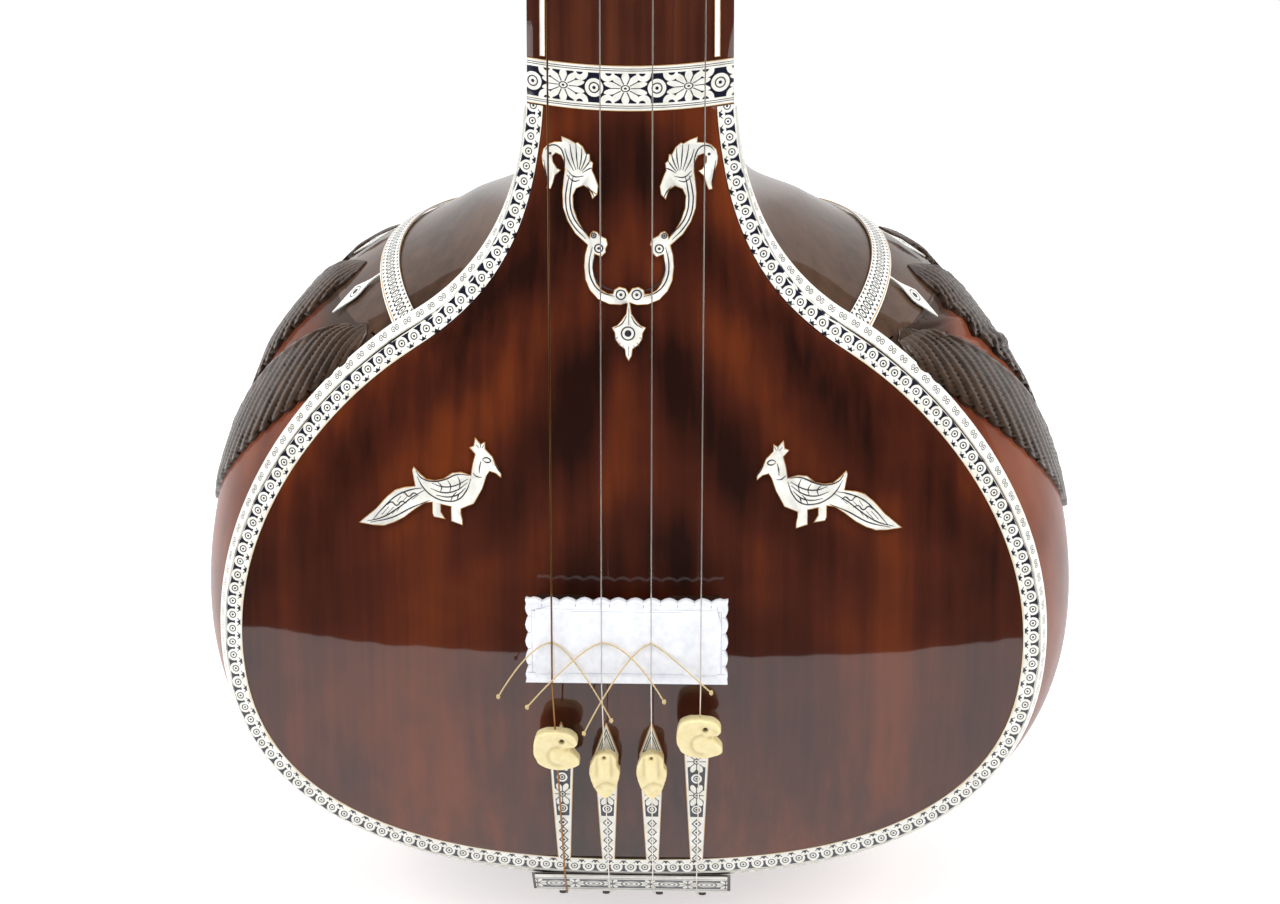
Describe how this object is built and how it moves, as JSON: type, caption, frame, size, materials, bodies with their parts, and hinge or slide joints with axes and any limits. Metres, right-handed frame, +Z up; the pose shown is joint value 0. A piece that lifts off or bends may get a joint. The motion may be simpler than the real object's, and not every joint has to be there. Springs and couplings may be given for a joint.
{
  "type": "tanpura",
  "caption": "Long-necked drone lute with a lacquered gourd body, carved throat leaves, inlaid bindings, wide bridge plate, tuning pegs and sliding tuning beads.",
  "frame": {"origin": "the lowest point of the gourd, where the instrument stands on its gourd", "axes": "+Z up along the neck, +X to the right and -Y to the front as seen from the soundboard's side"},
  "size_m": [0.4558, 0.3498, 1.44],
  "materials": {
    "gourd_lacquer": "dried gourd shell under clear shellac",
    "throat_lacquer": "stained wood under clear shellac",
    "neck_lacquer": "stained toon wood under clear shellac",
    "board_lacquer": "stained toon wood under clear shellac",
    "liner_wood": "bare wood",
    "ivory_inlay": "etched celluloid inlay",
    "bone": "polished bone",
    "plate_white": "white bone plate",
    "dark_wood": "oiled dark wood",
    "bead_cream": "carved bone",
    "steel_wire": "plain drawn wire",
    "brass_wire": "plain drawn wire",
    "cotton": "twisted cotton"
  },
  "bodies": {
    "body": {"gourd_shell": "gourd_lacquer", "throat": "throat_lacquer", "rim_liner": "liner_wood", "neck_trough": "neck_lacquer", "side_binding": "ivory_inlay", "throat_band": "ivory_inlay", "leaf_1": "throat_lacquer", "leaf_2": "throat_lacquer", "leaf_3": "throat_lacquer", "leaf_4": "throat_lacquer", "leaf_5": "throat_lacquer", "leaf_6": "throat_lacquer", "leaf_7": "throat_lacquer", "leaf_8": "throat_lacquer", "leaf_9": "throat_lacquer", "leaf_10": "throat_lacquer", "leaf_11": "throat_lacquer", "soundboard": "board_lacquer", "neck_cover": "neck_lacquer", "collar_band": "ivory_inlay", "board_binding": "ivory_inlay", "scroll_ornament": "ivory_inlay", "peacock_left": "ivory_inlay", "peacock_right": "ivory_inlay", "neck_strip_left": "ivory_inlay", "neck_strip_right": "ivory_inlay", "tail_strip_1": "ivory_inlay", "tail_strip_2": "ivory_inlay", "tail_strip_3": "ivory_inlay", "tail_strip_4": "ivory_inlay", "bridge_base": "dark_wood", "bridge_plate": "plate_white", "tailpiece": "dark_wood", "tailpiece_facing": "ivory_inlay", "nut": "bone", "string_guide": "bone", "head": "neck_lacquer", "string_1": "brass_wire", "string_2": "steel_wire", "string_3": "steel_wire", "string_4": "steel_wire"},
    "peg_1": {"peg_1": "dark_wood", "winding_1": "brass_wire"},
    "peg_2": {"peg_2": "dark_wood", "winding_2": "steel_wire"},
    "peg_3": {"peg_3": "dark_wood", "winding_3": "steel_wire"},
    "peg_4": {"peg_4": "dark_wood", "winding_4": "steel_wire"},
    "bead_1": {"bead_1": "bead_cream"},
    "bead_2": {"bead_2": "bead_cream"},
    "bead_3": {"bead_3": "bead_cream"},
    "bead_4": {"bead_4": "bead_cream"},
    "thread_1": {"thread_1": "cotton"},
    "thread_2": {"thread_2": "cotton"},
    "thread_3": {"thread_3": "cotton"}
  },
  "joints": [
    {"name": "peg_1_turn", "type": "hinge", "parent": "body", "child": "peg_1", "pos_m": [0, -0.0913, 1.241], "axis": [-1, 0, 0], "continuous": true},
    {"name": "peg_2_turn", "type": "hinge", "parent": "body", "child": "peg_2", "pos_m": [-0.021, -0.0913, 1.338], "axis": [0, -1, 0], "continuous": true},
    {"name": "peg_3_turn", "type": "hinge", "parent": "body", "child": "peg_3", "pos_m": [0.021, -0.0913, 1.39], "axis": [0, -1, 0], "continuous": true},
    {"name": "peg_4_turn", "type": "hinge", "parent": "body", "child": "peg_4", "pos_m": [0, -0.0913, 1.281], "axis": [1, 0, 0], "continuous": true},
    {"name": "bead_1_slide", "type": "slide", "parent": "body", "child": "bead_1", "axis": [-0.0176, -0.3892, 0.921], "range_m": [-0.01, 0.01]},
    {"name": "bead_2_slide", "type": "slide", "parent": "body", "child": "bead_2", "axis": [-0.0059, -0.3883, 0.9215], "range_m": [-0.002, 0.01]},
    {"name": "bead_3_slide", "type": "slide", "parent": "body", "child": "bead_3", "axis": [0.0059, -0.3883, 0.9215], "range_m": [-0.002, 0.01]},
    {"name": "bead_4_slide", "type": "slide", "parent": "body", "child": "bead_4", "axis": [0.0176, -0.3882, 0.9214], "range_m": [-0.012, 0.005]},
    {"name": "thread_1_slide", "type": "slide", "parent": "body", "child": "thread_1", "axis": [0, 0, 1], "range_m": [-0.002, 0.002]},
    {"name": "thread_2_slide", "type": "slide", "parent": "body", "child": "thread_2", "axis": [0, 0, 1], "range_m": [-0.002, 0.002]},
    {"name": "thread_3_slide", "type": "slide", "parent": "body", "child": "thread_3", "axis": [0, 0, 1], "range_m": [-0.002, 0.002]}
  ]
}
